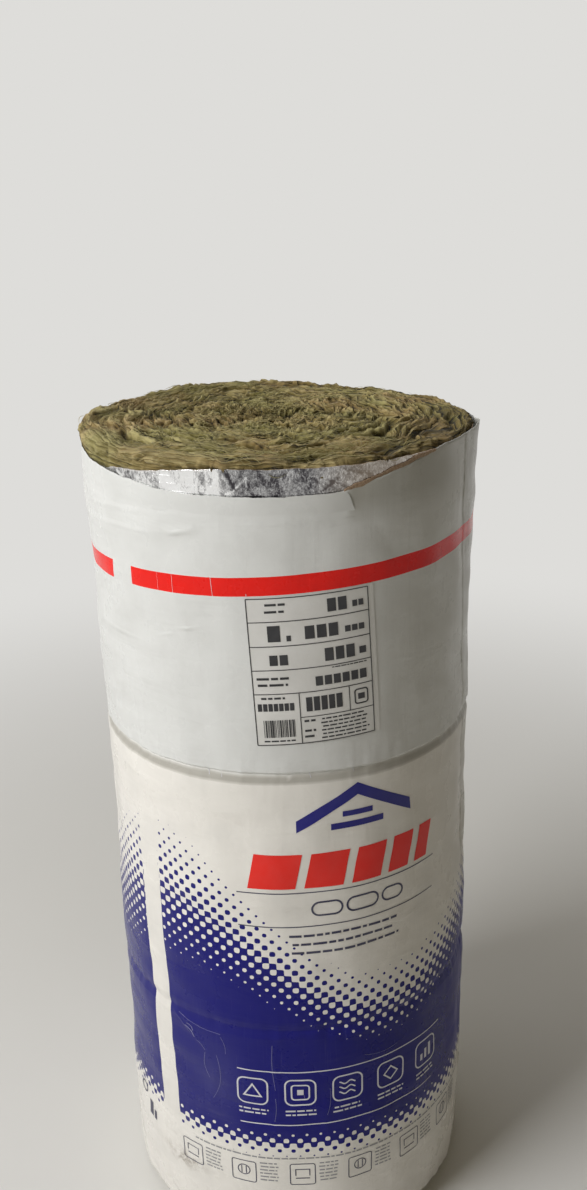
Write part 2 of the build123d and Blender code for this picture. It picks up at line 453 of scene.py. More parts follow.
def strand_material():
    """Loose glass fibres: paler and a little glossier than the felt under them."""
    material, node, surface = new_material("loose_glass_fibre")
    place = node("ShaderNodeTexCoord").outputs["Object"]
    mixed = node("ShaderNodeTexNoise", {"Vector": place, "Scale": 45.0, "Detail": 3.0})
    # The felt's painted light and shade carry over to the strands on it
    for name, weight in (("pale", 0.30), ("loft_and_shade", 0.55)):
        mark = node("ShaderNodeAttribute", attribute_name=name).outputs["Fac"]
        mixed = node("ShaderNodeMath", (mark, weight, mixed), operation="MULTIPLY_ADD")
    share = node("ShaderNodeMapRange", (mixed, 0.55, 1.30))
    hue = node("ShaderNodeMix", (share, linear("#706838"), linear("#B4AA7A")), data_type="RGBA")
    fill(surface, {"Base Color": hue, "Roughness": 0.65, "Specular IOR Level": 0.3})
    return material


def foil_material():
    """Aluminium foil, 0.01 mm, laminated to kraft over a thread scrim: mirror bright between its creases."""
    material, node, surface = new_material("bright_aluminium_foil")
    place = node("ShaderNodeTexCoord").outputs["Object"]
    uv = node("ShaderNodeUVMap", uv_map="film_metres")
    painted_reflection, kraft = [node("ShaderNodeAttribute", attribute_name=name).outputs["Fac"]
                      for name in ("painted_reflection", "kraft")]
    tarnish = node("ShaderNodeTexNoise", {"Vector": place, "Scale": 30.0, "Detail": 4.0})
    tone = node("ShaderNodeMath", (tarnish, 0.15, painted_reflection), operation="MULTIPLY_ADD")
    # Facets between creases, 8 mm and 3 mm across and higher than wide, each painted in its own tone as a
    # reflection of another part of the room. Where the painted reflection is darker they differ less
    calm = node("ShaderNodeMapRange", (painted_reflection, 0.30, 0.60, 1.0, 0.45))
    for scale, share, slant in (((125.0, 75.0, 1.0), 0.42, 0.5), ((360.0, 260.0, 1.0), 0.46, -0.3)):
        lay = node("ShaderNodeMapping", {"Vector": uv, "Rotation": (0.0, 0.0, slant), "Scale": scale})
        warp = node("ShaderNodeTexNoise", {"Vector": lay, "Scale": 0.8, "Detail": 2.0}).outputs["Color"]
        bent = node("ShaderNodeVectorMath", (warp, (1.2, 1.2, 0.0), lay), operation="MULTIPLY_ADD")
        facet = node("ShaderNodeTexVoronoi", {"Vector": bent, "Scale": 1.0}, voronoi_dimensions="2D")
        offset = node("ShaderNodeSeparateColor", (facet.outputs["Color"],))
        offset = node("ShaderNodeMath", (offset, 0.5), operation="SUBTRACT")
        offset = node("ShaderNodeMath", (offset, calm), operation="MULTIPLY")
        tone = node("ShaderNodeMath", (offset, share, tone), operation="MULTIPLY_ADD")
    # Painted glints of fine creases: short bright strokes, 3 mm apart and higher than wide
    lay = node("ShaderNodeMapping", {
        "Vector": uv, "Rotation": (0.0, 0.0, 0.25), "Scale": (400.0, 230.0, 1.0)})
    strokes = node("ShaderNodeTexNoise", {"Vector": lay, "Scale": 1.0, "Detail": 3.0, "Roughness": 0.65,
                                          "Distortion": 0.8})
    strokes = node("ShaderNodeMapRange", (strokes, 0.49, 0.66, 0.06, -0.58))
    tone = node("ShaderNodeMath", (strokes, calm, tone), operation="MULTIPLY_ADD")
    # Painted sparkle of the scrim, 1.5 mm, drawn coarser than its threads
    painted_sparkle = node("ShaderNodeTexNoise", {"Vector": place, "Scale": 650.0, "Detail": 1.0})
    painted_sparkle = node("ShaderNodeMath", (0.5, painted_sparkle), operation="SUBTRACT")
    tone = node("ShaderNodeMath", (painted_sparkle, 0.5, tone), operation="MULTIPLY_ADD")
    painted_dark = node("ShaderNodeMapRange", (tone, 0.0, 1.0))
    # The colour runs from near white to the dark grey of the painted reflection, and to the kraft's brown
    hue = linear("#FDFDFD")
    for share, colour in ((painted_dark, "#454347"), (kraft, "#9A8B78")):
        hue = node("ShaderNodeMix", (share, hue, linear(colour)), data_type="RGBA")
    gloss = node("ShaderNodeMapRange", (tarnish, 0.3, 0.7, 0.16, 0.32))
    # Scrim threads show through as faint ridges, 8 mm apart
    axes = node("ShaderNodeSeparateXYZ", (uv,)).outputs
    threads = []
    for axis in (0, 1):
        turns = node("ShaderNodeMath", (axes[axis], 2 * pi / 0.008), operation="MULTIPLY")
        wave = node("ShaderNodeMath", (turns,), operation="COSINE")
        threads.append(node("ShaderNodeMapRange", (wave, 0.9, 1)))
    scrim = node("ShaderNodeMath", threads, operation="MAXIMUM")
    dents = node("ShaderNodeTexVoronoi", {"Vector": place, "Scale": 190.0})
    heights = node("ShaderNodeMath", (scrim, 0.2, dents), operation="MULTIPLY_ADD")
    bump = node("ShaderNodeBump", {"Strength": 0.35, "Distance": 0.0010, "Height": heights})
    fill(surface, {"Base Color": hue, "Roughness": gloss, "Normal": bump, "Metallic": 1.0})
    return material


def kraft_material():
    """Brown kraft paper: matt, with pulp flecks 1 to 2 mm long."""
    material, node, surface = new_material("kraft_paper")
    place = node("ShaderNodeTexCoord").outputs["Object"]
    pulp = node("ShaderNodeTexNoise", {"Vector": place, "Scale": 600.0, "Detail": 3.0})
    fleck = node("ShaderNodeMapRange", (pulp, 0.35, 0.7))
    hue = node("ShaderNodeMix", (fleck, linear("#8E735A"), linear("#B39C84")), data_type="RGBA")
    bump = node("ShaderNodeBump", {"Strength": 0.3, "Distance": 0.0004, "Height": pulp})
    fill(surface, {"Base Color": hue, "Normal": bump, "Roughness": 0.8})
    return material


def sticker_material():
    """Coated paper sticker: off-white, satin, with faint handling marks."""
    material, node, surface = new_material("coated_paper_sticker")
    place = node("ShaderNodeTexCoord").outputs["Object"]
    marks = node("ShaderNodeTexNoise", {"Vector": place, "Scale": 25.0, "Detail": 5.0, "Roughness": 0.6})
    worn = node("ShaderNodeMapRange", (marks, 0.4, 0.75, 0, 0.5))
    hue = node("ShaderNodeMix", (worn, linear("#D5D4D0"), linear("#C0BFB9")), data_type="RGBA")
    bump = node("ShaderNodeBump", {"Strength": 0.25, "Distance": 0.001, "Height": marks})
    fill(surface, {"Base Color": hue, "Normal": bump, "Roughness": 0.42})
    return material


def backdrop_rays(node):
    """1 for the rays that show the plain backdrop: the camera's, and those that metal and gloss mirror."""
    rays = node("ShaderNodeLightPath").outputs
    seen = rays["Is Camera Ray"]
    for name in ("Is Glossy Ray", "Is Transmission Ray"):
        seen = node("ShaderNodeMath", (seen, rays[name]), operation="MAXIMUM")
    return seen


def floor_material():
    """Pale matt floor paint."""
    material, node, surface = new_material("pale_floor_paint")
    place = node("ShaderNodeTexCoord").outputs["Object"]
    mottle = node("ShaderNodeTexNoise", {"Vector": place, "Scale": 3.0, "Detail": 4.0})
    hue = node("ShaderNodeMix", (mottle, linear("#D9D8D4"), linear("#DEDDD9")), data_type="RGBA")
    fill(surface, {"Base Color": hue, "Roughness": 0.7})
    # Far from the pack the floor runs into the backdrop
    away = node("ShaderNodeVectorMath", (place,), operation="LENGTH")
    far = node("ShaderNodeMapRange", (away, 0.5, 2.6), interpolation_type="SMOOTHSTEP")
    seen = node("ShaderNodeMath", (far, backdrop_rays(node)), operation="MULTIPLY")
    glow = node("ShaderNodeEmission", (linear("#DEDDDA"), 1.0))
    both = node("ShaderNodeMixShader", (seen, surface, glow))
    fill(material.node_tree.nodes["Material Output"], (both,))
    return material


film_finish = film_material()
wool_finish = wool_material()
strand_finish = strand_material()
foil_finish = foil_material()
kraft_finish = kraft_material()
sticker_finish = sticker_material()
ink_names = ("blue_ink", "red_ink", "dark_ink", "white_ink", "grey_ink", "scuffed_film")
ink_colours = ("#0D0C74", "#E6200F", "#2B2B4A", "#D8D8DE", "#8E8E90", "#6A6AA2")
ink_veils = (0.03, 0.03, 0.10, 0.20, 0.20, 0.30)
inks = [ink_material(*ink) for ink in zip(ink_names, ink_colours, ink_veils)]
blue, red, dark, white, grey, scuffed = range(6)
label_ink = ink_material("black_label_ink", "#29292B", 0.04)


# Film sleeve: its columns are closer together on the front

front = np.concatenate([np.arange(-112, 62, 1.0), np.arange(62, 87, 0.45), np.arange(87, 112.1, 1.0)])
front = np.radians(front)
back = np.linspace(front[-1], 2 * pi + front[0], 84)[1:-1]
turns = np.concatenate([back[back > pi] - 2 * pi, front, back[back <= pi]])
around = np.degrees(turns)
waist_rows = np.array([-12.8, -12.2, -9, -5, -2, 0, 1.2, 2.4, 3.6, 4.2]) / 1000
levels = np.concatenate([np.arange(0.029, edge_foot, 0.0042), *[waist + waist_rows for waist in waists]])
edge = film_edge(turns)

# Rows of radius and height from the middle of the gathered foot up to the cut edge, and in behind it
gather = 0.5 + 0.5 * relief(turns, 0, 31, 0.020, 1.0) + 0.35 * relief(turns, 0, 32, 0.05, 1.0)
profile = [(reach, 0.0006 + 0.008 * reach * np.clip(gather, 0, 2))
           for reach in (0.0, 0.05, 0.10, 0.14, 0.165, 0.185, 0.200)]
foot_reach = film_skin(turns, foot_corner) - foot_corner
for bend in np.linspace(0, pi / 2, 9):
    pleat = 0.0011 * gather * sin(2 * bend) + 0.0008 * gather * (bend < 1.2)
    lift = foot_corner * (1 - cos(bend)) + pleat * cos(bend)
    profile.append((foot_reach + (foot_corner - pleat) * sin(bend), np.maximum(lift, 0.0)))
for level in np.unique(np.round(levels, 5)):
    gathered = 0.00066 * gather * hill(level, foot_corner, 0.018)
    profile.append((film_skin(turns, level) - gathered, level))
for share in np.linspace(0, 1, 22)[1:]:
    height = edge_foot + share * (edge - edge_foot)
    curl = 0.0006 * relief(turns, 0, 33, 0.05, 1.0) * share ** 4
    profile.append((film_skin(turns, height) + curl, height))
profile.append((profile[-1][0] - 0.0005, edge + 0.0001))
for drop in (0.002, 0.012, 0.030):
    profile.append((film_skin(turns, edge - drop) - 0.0007, edge - drop))
reach, height = stacked(profile, turns)

# Marks for the film's finish. Dirt lies low on the left and near the floor
arc = turns * film_radius
soil = 1.3 * hill(arc, -0.166, 0.028) * hill(height, 0.106, 0.011)
soil += 0.35 * np.exp(-height / 0.03) * (0.5 + 0.5 * relief(turns, height, 34, 0.2, 0.2))
# A band of thinner film under the upper groove, painted grey for the shaded hollow behind it: soft above and
# crisp below, with small nicks at its top
step = height - waists[1]
groove = ramp(step, -0.0125, 0.0008) * ramp(step, 0, -0.0045) ** 0.7
nicks = 1.6 * np.clip(relief(turns, 0, 35, 0.011, 1.0) - 1.5, 0, 1) * ramp(step, -0.007, 0.007)
# Small gathers along the band's top are painted in shade
gather_shade = np.clip(0.35 + 0.8 * relief(turns, 0, 64, 0.06, 1.0), 0, 1) * hill(step, -0.0035, 0.0020)
gather_shade = 0.55 * gather_shade * ramp(np.abs(arc + 0.01), 0.18, -0.05)
# The blue is milkier on the left, which is painted sheen, and where the film was rubbed
veil = 0.045 * ramp(arc, -0.205, -0.02) * ramp(arc, -0.48, 0.06)
veil = veil + 0.03 * ramp(arc, -0.10, -0.08) * (arc > -0.205)
veil = veil * ramp(height, 0.64, -0.06) + 0.075 * hill(arc, -0.105, 0.034) * hill(height, 0.262, 0.055)
# The film is in shade beside its outer layer's tab on the right, and on the loose fold
beside_tab = 0.30 + 0.30 * hill(around, 18, 9) + 0.16 * ramp(around, 33.2, 0.9)
beside_tab = beside_tab * ramp(height, 0.985, 0.03) * ramp(around, 17.4, 0.9) * ramp(around, 64, -22)
from_start = around - fold_start(height)
dashes = np.clip(0.6 + 0.8 * relief(0, height, 63, 1.0, 0.03), 0, 1)
fold_shade = 0.37 * ramp(from_start, 0, 0.5) * ramp(around, 87.6, -1.2)
fold_shade = (fold_shade + 0.5 * dashes * hill(from_start, 0.1, 0.55)) * ramp(height, 0, 0.2)
film_marks = {
    "blue": blue_share(turns, height),
    "strip": unprinted_strip(turns, height),
    "stripe": height - 0.9265 - film_radius * np.sin(turns) * 0.0449,
    "tone": ramp(height, 0.705, -0.012),
    "veil": veil,
    "groove": 0.9 * groove * (1 - nicks) * (1 - 0.6 * gather_shade),
    "soil": soil,
    "shade": np.clip(beside_tab + fold_shade + gather_shade, 0, 1),
}
film_mesh = band("film_wrap", on_circle(turns, reach, height), film_marks, turns, height, sealed=True)
shown("film_wrap", film_mesh, [film_finish], "film", "film_sleeve")


# Inner layers, which follow the film

def inner_layer(name, material, slot, node, depth, low, high, bore=0):
    """A closed layer behind the film, from one height to the other: round a bore, or a thin sheet."""
    angles = np.linspace(-pi, pi, 181)[:-1]
    rows = [(np.minimum(film_skin(angles, level), film_radius) - depth, level)
            for level in np.linspace(low, high, 31)]
    inside = (bore, bore) if bore else (rows[-1][0] - foil_sheet, rows[0][0] - foil_sheet)
    rows += [(inside[0], high), (inside[1], low), rows[0]]
    reach, height = stacked(rows, angles)
    marks = {"loft_and_shade": 0.5, "painted_reflection": 0.2, "kraft": 0.0}
    mesh = band(name, on_circle(angles, reach, height), marks, angles, height, sealed=True)
    shown(name, mesh, [material], slot, node)


inner_layer("wool_bottom", wool_finish, "wool", "roll_bottom", 0.0070, 0.030, 0.348, eye_radius)
inner_layer("wool_middle", wool_finish, "wool", "roll_middle", 0.0085, 0.354, 0.698, eye_radius)
inner_layer("foil_bottom", foil_finish, "foil", "facing_bottom", 0.0040, 0.036, 0.342)
inner_layer("foil_middle", foil_finish, "foil", "facing_middle", 0.0050, 0.362, 0.692)


# Wool of the top roll, with its wound end

def foil_top(turn):
    """Height of the foil's upper edge: the wool bulges over it on the left."""
    drop = np.interp(np.degrees(turn), (-138, -126, -61, -48, -40, -33, -25, -16),
                     (0, 16, 16, 11.5, 9.5, 6.5, 2.5, 0))
    return rim - 0.0002 - 0.001 * drop + 0.0003 * relief(turn, 0, 51, 0.03, 1.0)


# Long hollows between turns: radius, from and to in degrees, and half width
hollows = ((0.204, -98, -24, 0.0052), (0.191, -34, 12, 0.0050), (0.176, -86, -40, 0.0045),
           (0.150, -112, -66, 0.0045), (0.199, 14, 52, 0.0040), (0.132, -20, 40, 0.0045),
           (0.207, 150, 178, 0.0050))


def wool_end(turn, radius):
    """Height of the wound end, how much the wool stands loose there with its painted light and shade, and the
    radius that its lay follows.
    """
    around = np.degrees(turn)
    lay = radius + 0.0050 * relief(turn, radius, 41, 0.20, 0.10)
    lay = lay + 0.0022 * relief(turn, radius, 42, 0.08, 0.04)
    # Each turn swells outwards to a lip over the gap beside it, more in some places than in others
    phase = ((lay - eye_radius) / turn_step - turn / (2 * pi)) % 1
    flat_right = hill(around, 72, 36, 4) * ramp(radius, 0.150, 0.04)
    calm = (1 - 0.8 * hill(around, -80, 38) * ramp(radius, 0.185, 0.02)) * (1 - 0.55 * flat_right)
    strength = calm * np.clip(0.70 + 0.62 * relief(turn, radius, 43, 0.17, 0.050), 0.06, 1.3)
    lip = ramp(phase, 0, 0.85) ** 1.3 * ramp(phase, 1, -0.14)
    gap = hill(phase, 1, 0.09) + hill(phase, 0, 0.13)
    # Smaller folds, 9.4 mm apart
    place = (lay + 0.0045 * relief(turn, radius, 44, 0.07, 0.03)) / 0.0094 % 1
    fold = ramp(place, 0, 0.8) * ramp(place, 1, -0.2)
    fold = fold * calm * np.clip(0.45 + 0.8 * relief(turn, radius, 45, 0.09, 0.03), 0, 1.2)
    # Broader hollows: long ones on the left, and shallow ones all over
    hollow = np.clip(relief(turn, lay, 57, 0.12, 0.026) - 0.75, 0, 1)
    for reach, near, far, wide in hollows:
        run = ramp(around, near, 14) * ramp(around, far, -14)
        hollow = np.maximum(hollow, run * hill(lay, reach + 0.004 * relief(turn, 0, 58, 0.09, 1), wide))
    height = wound_end + 0.0050 * np.cos(turn + radians(115)) * (radius / wool_radius) ** 2
    height = height + 0.0038 * strength * (lip - 0.6) - 0.0052 * gap * strength
    height = height + 0.0022 * fold - 0.0038 * hollow
    height = height + 0.0014 * relief(turn, radius, 47, 0.25, 0.2)
    height = height + 0.0010 * relief(turn, lay, 46, 0.10, 0.030)
    height = height + 0.0005 * relief(turn, lay, 55, 0.03, 0.011)
    # Tone: painted light on the left and on lips and folds; painted shade in gaps, hollows and on the flat
    # right
    left = hill(around, -75, 40) * ramp(radius, 0.14, 0.05)
    loft_and_shade = 0.40 + 0.30 * left - 0.38 * hollow + 0.20 * strength * (lip - 0.5) + 0.25 * fold
    loft_and_shade = loft_and_shade - 0.75 * gap * strength + 0.06 * relief(turn, lay, 56, 0.06, 0.02) - 0.20 * flat_right
    return height, np.clip(loft_and_shade, 0, 1), lay


wool_turns = np.linspace(-pi, pi, 961)[:-1]
around = np.degrees(wool_turns)
# The wool leans over the edge on the left, where it is also pressed against the film
lean = hill(around, -92, 34) + 0.5 * hill(around, -150, 30)
pressed = ramp(around, -20, -38) * ramp(around, -136, 12)
reach_out = wool_radius - 0.0020 + 0.0035 * np.clip(lean, 0, 1)
reach_out = reach_out + pressed * (film_skin(wool_turns, 1.043) - 0.0002 - reach_out)
corner = 0.013 - 0.0065 * hill(around, 85, 42, 4)
shoulder = wool_end(wool_turns, reach_out - corner)[0] - corner
bulge_foot = np.minimum(foil_top(wool_turns) - 0.0008, shoulder - 0.002)

# Rows of radius and height: up the wall, round the shoulder, and in over the turns to the eye
rows, lofts_and_shades, lays = [], [], []
for level, behind in (*[(level, 0.0055) for level in (top_roll_foot, 0.80, 0.92, 1.00, bulge_foot - 0.008)],
                      (bulge_foot - 0.0025, 0.0035)):
    rows.append((np.minimum(wool_radius, film_skin(wool_turns, level)) - behind, level))
for share in np.linspace(0, 1, 5):
    level = bulge_foot + share * (shoulder - bulge_foot)
    fluff = 0.0016 * np.abs(relief(wool_turns, level, 48, 0.11, 0.005)) - 0.0008
    rows.append((reach_out - 0.0012 * (1 - share) + fluff + 0.0014 * pressed * share, level))
for radius, level in rows:
    lofts_and_shades.append(0.42 + 0.10 * relief(wool_turns, level, 48, 0.03, 0.006))
    lays.append(radius - level)
wall_rows = len(rows)
for bend in np.linspace(0, pi / 2, 9)[1:-1]:
    radius = reach_out - corner * (1 - cos(bend))
    height, loft_and_shade, lay = wool_end(wool_turns, radius)
    fluff = 0.0016 * np.abs(relief(wool_turns, height, 49, 0.025, 0.006)) - 0.0008
    level = height - corner * (1 - sin(bend))
    over = 0.0034 * hill(level, rim + 0.0044, 0.0042)
    over = over * (0.6 + 0.75 * relief(wool_turns, level, 50, 0.05, 0.03))
    over = over * np.maximum(ramp(np.abs(around), 75, -15), 0.3)
    rows.append((radius + fluff * cos(bend) + over, level))
    lofts_and_shades.append(loft_and_shade)
    lays.append(lay - level)
for share in np.linspace(0, 1, 134):
    radius = (reach_out - corner) * (1 - share) + (eye_radius + 0.003 * np.cos(2 * wool_turns + 1)) * share
    height, loft_and_shade, lay = wool_end(wool_turns, radius)
    sink = ramp(radius, eye_radius + 0.012, -0.012) ** 2
    rows.append((radius, height - 0.008 * sink))
    # Down into the eye the wool is painted darker, as shade
    lofts_and_shades.append(loft_and_shade - 0.4 * sink)
    lays.append(lay - wound_end)
last_top_row = len(rows)
wool_reach, wool_level = stacked(rows, wool_turns)
wool_loft_and_shade, wool_lay = np.array(lofts_and_shades), np.array(lays)
# Below its cut edge the film holds the wool in
above_edge = wool_level - film_edge(wool_turns)
held = film_skin(wool_turns, wool_level) - 0.0012 + 0.004 * ramp(above_edge, 0.0005, 0.003)
wool_reach = np.where(above_edge < 0.0035, np.minimum(wool_reach, held), wool_reach)
# Just above the film's cut edge the wool is painted dark, as contact shadow
wool_loft_and_shade[:wall_rows + 4] *= np.maximum(ramp(above_edge[:wall_rows + 4], -0.0005, 0.004), 0.15)
wool_points = on_circle(wool_turns, wool_reach, wool_level)


def wool_piece(name, first, last, *nodes):
    """Rows of the wound end as a closed ring, with walls down to the roll's foot."""
    down = [(wool_reach[last - 1].mean() - 0.003, level) for level in (1.035, 0.95, 0.80, top_roll_foot)]
    up = [(wool_reach[first].mean() - 0.003, top_roll_foot)] if first else []
    walls = on_circle(wool_turns, *stacked(down + up, wool_turns))
    points = np.concatenate([wool_points[first:last], walls, wool_points[first:first + 1]])
    spare = np.zeros((len(walls) + 1, len(wool_turns)))
    loft_and_shade, lay = [np.concatenate([values[first:last], spare]) for values in (wool_loft_and_shade, wool_lay)]
    mesh = band(name, points, {"loft_and_shade": loft_and_shade}, wool_turns, lay, unroll=0.16, sealed=True)
    shown(name, mesh, [wool_finish], "wool", *nodes)


# The wound end is split between two turns, so that both pieces can be fine
halfway = wall_rows + 73
wool_piece("wool_top", 0, halfway, "roll_top")
wool_piece("wool_heart", halfway - 1, last_top_row)


# Loose fibres on the wound end

strand_inputs = {
    "Strands per square metre": "NodeSocketFloat",
    "Strand length": "NodeSocketFloat",
    "Strand thickness": "NodeSocketFloat",
    "Spread": "NodeSocketFloat",
    "Curl": "NodeSocketFloat",
    "Strand sides": "NodeSocketInt",
    "Strand bends": "NodeSocketInt",
    "Seed": "NodeSocketInt",
    "Material": "NodeSocketMaterial",
}


def strand_tree():
    """Scatters bent strands over the carrier's faces, along the turns of the wool."""
    tree = bpy.data.node_groups.new("loose_strands", "GeometryNodeTree")
    node = partial(add, tree)
    tree.interface.new_socket("Geometry", in_out="INPUT", socket_type="NodeSocketGeometry")
    for name, kind in strand_inputs.items():
        tree.interface.new_socket(name, in_out="INPUT", socket_type=kind)
    tree.interface.new_socket("Geometry", in_out="OUTPUT", socket_type="NodeSocketGeometry")
    given = node("NodeGroupInput").outputs
    seed, curl, spread = given["Seed"], given["Curl"], given["Spread"]
    lay = node("GeometryNodeInputNamedAttribute", {"Name": "lay"}, data_type="FLOAT_VECTOR")
    growth = node("GeometryNodeInputNamedAttribute", {"Name": "growth"}, data_type="FLOAT")
    density = node("ShaderNodeMath", (given["Strands per square metre"], growth), operation="MULTIPLY")
    points = node("GeometryNodeDistributePointsOnFaces", {
        "Mesh": given["Geometry"], "Density": density, "Seed": seed})
    aligned = node("FunctionNodeAlignRotationToVector", {
        "Rotation": points.outputs["Rotation"], "Vector": lay}, axis="X")
    low, high = [node("ShaderNodeVectorMath", (limit, spread), operation="SCALE")
                 for limit in ((-1.0, -0.45, -1.0), (1.0, 0.30, 1.0))]
    lean = node("FunctionNodeRandomValue", {"Min": low, "Max": high, "Seed": seed}, data_type="FLOAT_VECTOR")
    turned = node("FunctionNodeRotateRotation", (aligned, lean), rotation_space="LOCAL")
    # Thickest in the middle and thin at both ends
    way = node("GeometryNodeSplineParameter")
    away = node("ShaderNodeMath", (way, 2.0, -1.0), operation="MULTIPLY_ADD")
    square = node("ShaderNodeMath", (away, away), operation="MULTIPLY")
    taper = node("ShaderNodeMath", (1.1, square), operation="SUBTRACT")
    # Three strands that bow differently
    shapes = node("GeometryNodeJoinGeometry")
    for bow, rise in ((0.14, 0.05), (-0.20, 0.09), (0.07, 0.15)):
        arch = node("ShaderNodeVectorMath", ((0.0, bow, rise), curl), operation="SCALE")
        middle = node("ShaderNodeVectorMath", (arch, (0.5, 0.0, 0.0)), operation="ADD")
        end = node("ShaderNodeCombineXYZ", (1.0, -0.3 * bow, -0.03))
        middle, end = [node("ShaderNodeVectorMath", (spot, given["Strand length"]), operation="SCALE")
                       for spot in (middle, end)]
        line = node("GeometryNodeCurveQuadraticBezier", {
            "Resolution": given["Strand bends"], "Start": (0, 0, 0), "Middle": middle, "End": end})
        ring = node("GeometryNodeCurvePrimitiveCircle", {
            "Resolution": given["Strand sides"], "Radius": given["Strand thickness"]})
        tube = node("GeometryNodeCurveToMesh", {"Curve": line, "Profile Curve": ring, "Scale": taper})
        fill(shapes, (node("GeometryNodeGeometryToInstance", (tube,)),))
    size = node("FunctionNodeRandomValue", {"Min": 0.5, "Max": 1.5, "Seed": 5}, data_type="FLOAT")
    pale = node("FunctionNodeRandomValue", {"Min": 0.0, "Max": 1.0, "Seed": 6}, data_type="FLOAT")
    placed = node("GeometryNodeInstanceOnPoints", {
        "Points": points, "Instance": shapes, "Pick Instance": True, "Rotation": turned, "Scale": size})
    toned = node("GeometryNodeStoreNamedAttribute", {"Geometry": placed, "Name": "pale", "Value": pale},
                 data_type="FLOAT", domain="INSTANCE")
    real = node("GeometryNodeRealizeInstances", (toned,))
    finished = node("GeometryNodeSetMaterial", {"Geometry": real, "Material": given["Material"]})
    node("NodeGroupOutput", (finished,))
    return tree


def scattered(name, carrier, tree, values):
    """Runs a tree on a carrier mesh and returns the plain mesh that it makes."""
    holder = bpy.data.objects.new(name + "_carrier", carrier)
    bpy.context.scene.collection.objects.link(holder)
    modifier = holder.modifiers.new(tree.name, "NODES")
    modifier.node_group = tree
    for socket in tree.interface.items_tree:
        if socket.name in values:
            modifier[socket.identifier] = values[socket.name]
    evaluated = holder.evaluated_get(bpy.context.evaluated_depsgraph_get())
    mesh = bpy.data.meshes.new_from_object(evaluated)
    mesh.name = name
    holder.modifiers.clear()
    bpy.data.objects.remove(holder)
    return mesh


def wool_carrier(name, growth):
    """The wound end that strands grow on, with the way that the turns run and how thickly they grow."""
    top = slice(wall_rows - 4, last_top_row)
    loft_and_shade, reach = wool_loft_and_shade[top], wool_reach[top]
    bare = np.maximum(film_edge(wool_turns), foil_top(wool_turns) - 0.004)
    clear = ramp(wool_level[top], bare + 0.005, 0.005)
    marks = {"loft_and_shade": loft_and_shade, "growth": clear * growth(np.degrees(wool_turns), reach, loft_and_shade)}
    mesh = band(name, wool_points[top], marks)
    aside = -np.gradient(wool_lay[top], wool_turns, axis=1) / reach
    aside = np.clip(aside, -0.35, 0.35) * ramp(reach, 0.218, -0.02)
    ahead = np.stack([np.cos(wool_turns) + aside * np.sin(wool_turns),
                      np.sin(wool_turns) - aside * np.cos(wool_turns), aside * 0], -1)
    attribute = mesh.attributes.new("lay", "FLOAT_VECTOR", "POINT")
    attribute.data.foreach_set("vector", ahead.astype(np.float32).ravel())
    return mesh


def matted(around, reach, loft_and_shade):
    """Fibres stand nearly everywhere, and fewer on the outer edge away from the front."""
    rim_share = ramp(reach, 0.205, 0.02) * ramp(np.abs(around), 60, 20)
    return np.clip(loft_and_shade * 1.9 - 0.25, 0.08, 1) * (1 - 0.97 * rim_share)


def teased(around, reach, loft_and_shade):
    """Curled fibres are teased out at the front edge, most of all right of the middle."""
    front = hill(around, 22, 26) + 0.5 * hill(around, -14, 16)
    return np.clip(0.03 + front * ramp(reach, 0.165, 0.03), 0, 1) * ramp(reach, 0.236, -0.02)


strands = strand_tree()
for name, growth, *sizes in (
        ("curled_fibres", teased, 16000.0, 0.017, 0.00026, 0.45, 2.6, 3, 8, 3, strand_finish),
        ("loose_fibres", matted, 42000.0, 0.013, 0.00017, 0.25, 1.0, 3, 4, 7, strand_finish)):
    made = scattered(name, wool_carrier(name + "_ground", growth), strands, dict(zip(strand_inputs, sizes)))
    made.shade_smooth()
    shown(name, made, [], "wool")


# Foil facing of the top roll

foil_turns = np.radians(np.concatenate([
    np.arange(-180, -72, 1.5), np.arange(-72, 60, 0.25), np.arange(60, 180, 1.5)]))
around = np.degrees(foil_turns)
# Creases: points, how much darker they are painted as shade, lighter as highlight where negative, and width
# in mm
foil_creases = (
    (((-89.0, 1038), (-89.9, 1021)), -0.9, 1.2),
    (((-64.8, 1042), (-71.6, 1032), (-75.5, 1027), (-78.7, 1021)), -0.6, 2.2),
    (((-56.0, 1052), (-51.5, 1038), (-48.0, 1030)), 0.50, 1.7),
    (((-60.0, 1051), (-55.5, 1043)), 0.35, 2.0),
    (((-48.0, 1030), (-34.9, 1043)), -0.45, 1.2),
    (((-56.7, 1025), (-48.0, 1029)), -0.5, 1.1),
    (((-35.1, 1039), (-35.6, 1026)), -0.35, 1.0),
    (((-133.8, 1037), (-134.7, 1023)), -0.5, 1.0),
    (((-149.8, 1036), (-150.5, 1027)), -0.5, 1.4),
    (((-201.7, 1036), (-192.8, 1030)), -0.7, 1.4),
    (((-32.0, 1022), (-20.0, 1022), (-4.0, 1022)), 0.35, 2.0),
    (((42.8, 1026), (60.8, 1039)), 0.3, 1.2),
    (((51.5, 1037), (67.5, 1029)), 0.25, 1.2),
    (((28.0, 1047), (44.0, 1031)), 0.2, 1.2),
    (((72.0, 1046), (98.0, 1038)), 0.2, 1.2),
    (((8.0, 1046), (3.0, 1034), (6.0, 1023)), -0.2, 1.2),
)
# How dark the foil's painted reflection is, by the angle in degrees
reflection_angles = (-180, -75, -62, -50, -46, -38, -33.4, -32.5, -23.6, -22.2, -19.9, -19.2, -16.2,
               -15.8, -13.9, -13.3, -11.9, -9, -1.2, 5, 11, 18.6, 37, 60, 110, 180)
reflection_tones = (0.40, 0.38, 0.58, 0.50, 0.37, 0.28, 0.18, -0.30, -0.34, 0.28, 0.34, -0.04, 0.00,
              0.43, 0.48, 0.56, 0.62, 0.77, 0.79, 0.72, 0.65, 0.68, 0.66, 0.58, 0.45, 0.40)


